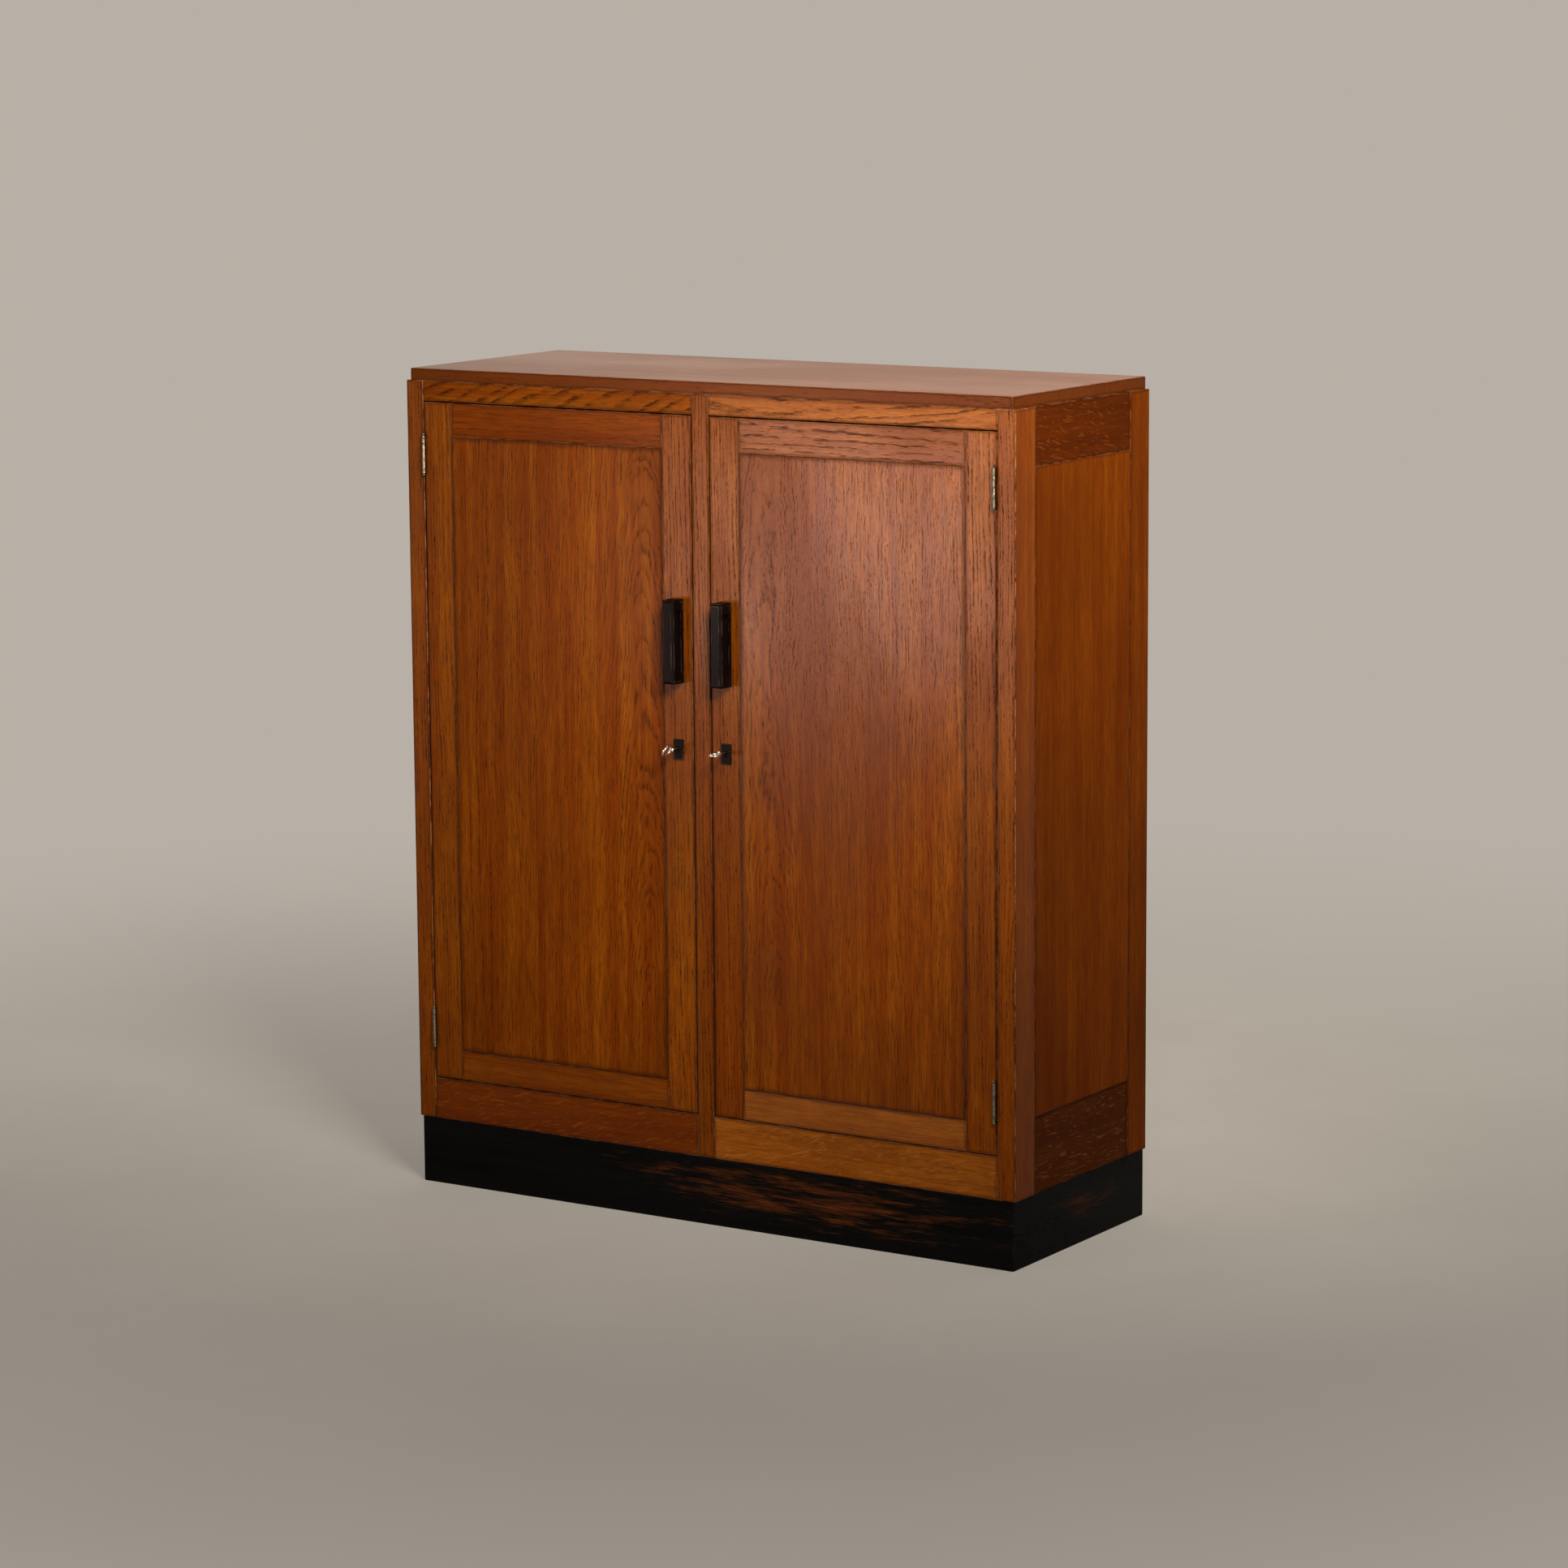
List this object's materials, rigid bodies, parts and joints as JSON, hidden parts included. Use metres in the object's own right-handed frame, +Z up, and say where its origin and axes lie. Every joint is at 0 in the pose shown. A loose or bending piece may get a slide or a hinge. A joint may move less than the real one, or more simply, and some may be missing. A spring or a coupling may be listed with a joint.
{
  "type": "archive cabinet",
  "caption": "Upright framed oak cabinet with panelled doors, block handles, locks with keys, butt hinges, adjustable shelves and a dark plinth.",
  "frame": {"origin": "middle of the bounding box on the floor, with the doors shut", "axes": "+Z up, -Y out of the doored front, +X to the right of someone who faces the front"},
  "size_m": [1.265, 0.5114, 1.5],
  "materials": {
    "oak_frame": "satin stained oak",
    "oak_panel": "satin stained oak veneer",
    "inner_oak": "matt oak",
    "black_wood": "worn black stain",
    "aged_steel": "aged, dull",
    "nickel": "worn nickel plate",
    "lock_steel": "plain steel"
  },
  "bodies": {
    "carcass": {"post_front_left": "oak_frame", "post_front_right": "oak_frame", "post_rear_left": "oak_frame", "post_rear_right": "oak_frame", "centre_post": "oak_frame", "front_top_rail_left": "oak_frame", "front_top_rail_right": "oak_frame", "front_bottom_rail_left": "oak_frame", "front_bottom_rail_right": "oak_frame", "side_top_rail_left": "oak_frame", "side_top_rail_right": "oak_frame", "side_bottom_rail_left": "oak_frame", "side_bottom_rail_right": "oak_frame", "side_panel_left": "oak_panel", "side_panel_right": "oak_panel", "back_top_rail": "inner_oak", "back_bottom_rail": "inner_oak", "back_muntin": "inner_oak", "back_panels": "inner_oak", "top_board": "oak_frame", "bottom_board": "inner_oak", "partition": "inner_oak", "plinth_front": "black_wood", "plinth_rear": "black_wood", "plinth_left": "black_wood", "plinth_right": "black_wood", "plinth_corner_blocks": "inner_oak", "shelf_racks": "inner_oak", "shelf_bearers": "inner_oak", "shelves": "inner_oak", "top_blocks": "inner_oak", "fixing_strips": "inner_oak", "lock_keeps": "lock_steel", "hinge_frame_leaves": "aged_steel", "hinge_pins": "aged_steel", "hinge_frame_screws": "aged_steel"},
    "left_door": {"left_hinge_stile": "oak_frame", "left_lock_stile": "oak_frame", "left_door_top_rail": "oak_frame", "left_door_bottom_rail": "oak_frame", "left_door_panel": "oak_panel", "left_handle": "black_wood", "left_escutcheon": "black_wood", "left_lock_case": "lock_steel", "left_door_hinge_leaves": "aged_steel", "left_door_screws": "aged_steel"},
    "left_bolt": {"left_lock_bolt": "lock_steel"},
    "left_key_body": {"left_key": "nickel"},
    "right_door": {"right_hinge_stile": "oak_frame", "right_lock_stile": "oak_frame", "right_door_top_rail": "oak_frame", "right_door_bottom_rail": "oak_frame", "right_door_panel": "oak_panel", "right_handle": "black_wood", "right_escutcheon": "black_wood", "right_lock_case": "lock_steel", "right_door_hinge_leaves": "aged_steel", "right_door_screws": "aged_steel"},
    "right_bolt": {"right_lock_bolt": "lock_steel"},
    "right_key_body": {"right_key": "nickel"}
  },
  "joints": [
    {"name": "left_door_hinge", "type": "hinge", "parent": "carcass", "child": "left_door", "pos_m": [-0.5932, -0.2108, 0.295], "axis": [0, 0, -1], "range_deg": [0, 180]},
    {"name": "left_key_turn", "type": "hinge", "parent": "left_door", "child": "left_key_body", "pos_m": [-0.05, -0.2058, 0.855], "axis": [0, 1, 0], "range_deg": [-30, 330]},
    {"name": "left_bolt_slide", "type": "slide", "parent": "left_door", "child": "left_bolt", "axis": [1, 0, 0], "range_m": [-0.00075, 0.00825]},
    {"name": "right_door_hinge", "type": "hinge", "parent": "carcass", "child": "right_door", "pos_m": [0.5932, -0.2108, 0.295], "axis": [0, 0, 1], "range_deg": [0, 180]},
    {"name": "right_key_turn", "type": "hinge", "parent": "right_door", "child": "right_key_body", "pos_m": [0.05, -0.2058, 0.855], "axis": [0, -1, 0], "range_deg": [-90, 270]},
    {"name": "right_bolt_slide", "type": "slide", "parent": "right_door", "child": "right_bolt", "axis": [-1, 0, 0], "range_m": [-0.00225, 0.00675]}
  ],
  "couplings": [
    {"joint": "left_bolt_slide", "follows": "left_key_turn", "m_per_rad": 0.0014324},
    {"joint": "right_bolt_slide", "follows": "right_key_turn", "m_per_rad": 0.0014324}
  ]
}
